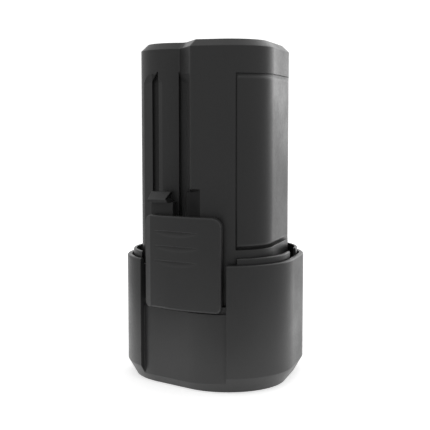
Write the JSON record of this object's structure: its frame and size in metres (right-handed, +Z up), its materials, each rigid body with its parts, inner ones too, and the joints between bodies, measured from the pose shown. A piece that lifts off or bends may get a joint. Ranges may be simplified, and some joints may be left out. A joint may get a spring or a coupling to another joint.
{
  "type": "power tool battery pack",
  "caption": "Slide-in stick battery pack for a cordless tool: a lobed cell tower stands in a round cup-shaped foot, with a sprung hinged release button on each side.",
  "frame": {"origin": "centre of the whole pack in plan, on the underside of the foot", "axes": "+Z up towards the contacts, the way the pack slides into the tool; +X towards the flat facet, -X towards the single rear lobe; the release buttons are at -Y (left) and +Y (right)"},
  "size_m": [0.0486, 0.049, 0.0915],
  "materials": {
    "housing_plastic": "charcoal moulded plastic with a fine spark texture",
    "button_plastic": "charcoal moulded plastic, slightly smoother than the housing",
    "steel": "ground steel pin",
    "spring_steel": "music wire",
    "screw_steel": "black-finished steel",
    "cell_can": "nickel-plated steel can",
    "cell_sleeve": "heat-shrunk film",
    "insulator": "pale insulating paper",
    "holder_plastic": "dark grey moulded plastic",
    "nickel": "nickel strip",
    "lead_sleeve": "black wire insulation",
    "foam": "closed-cell foam",
    "board": "green solder mask",
    "chip_black": "moulded chip package",
    "thermistor_coating": "epoxy-dipped bead",
    "terminal_plastic": "black glass-filled plastic",
    "contact_metal": "spring brass"
  },
  "bodies": {
    "housing": {"base_cup": "housing_plastic", "base_screws": "screw_steel", "cell_holder_lower": "holder_plastic", "cell_holder_upper": "holder_plastic", "cell_left": "cell_can", "cell_rear": "cell_can", "cell_right": "cell_can", "cell_sleeves": "cell_sleeve", "circuit_board": "board", "contact_data": "contact_metal", "contact_negative": "contact_metal", "contact_positive": "contact_metal", "contact_sense": "contact_metal", "control_chip": "chip_black", "foam_pad": "foam", "hinge_pin_left": "steel", "hinge_pin_right": "steel", "insulating_sheet": "insulator", "insulator_rings": "insulator", "mosfets": "chip_black", "negative_lead": "lead_sleeve", "nickel_strip_negative": "nickel", "nickel_strip_positive": "nickel", "series_strip_lower": "nickel", "series_strip_upper": "nickel", "terminal_block": "terminal_plastic", "thermistor": "thermistor_coating", "tower_housing": "housing_plastic", "button_spring_left": "spring_steel", "button_spring_right": "spring_steel"},
    "button_left": {"release_button_left": "button_plastic"},
    "button_right": {"release_button_right": "button_plastic"}
  },
  "joints": [
    {"name": "button_left_press", "type": "hinge", "parent": "housing", "child": "button_left", "pos_m": [-0.0084, -0.015, 0.0255], "axis": [-1, 0, 0], "range_deg": [0, 4.5], "stiffness_Nm_per_rad": 0.35, "springref_deg": -6.88, "deforming": ["button_spring_left"]},
    {"name": "button_right_press", "type": "hinge", "parent": "housing", "child": "button_right", "pos_m": [-0.0084, 0.015, 0.0255], "axis": [1, 0, 0], "range_deg": [0, 4.5], "stiffness_Nm_per_rad": 0.35, "springref_deg": -6.88, "deforming": ["button_spring_right"]}
  ]
}
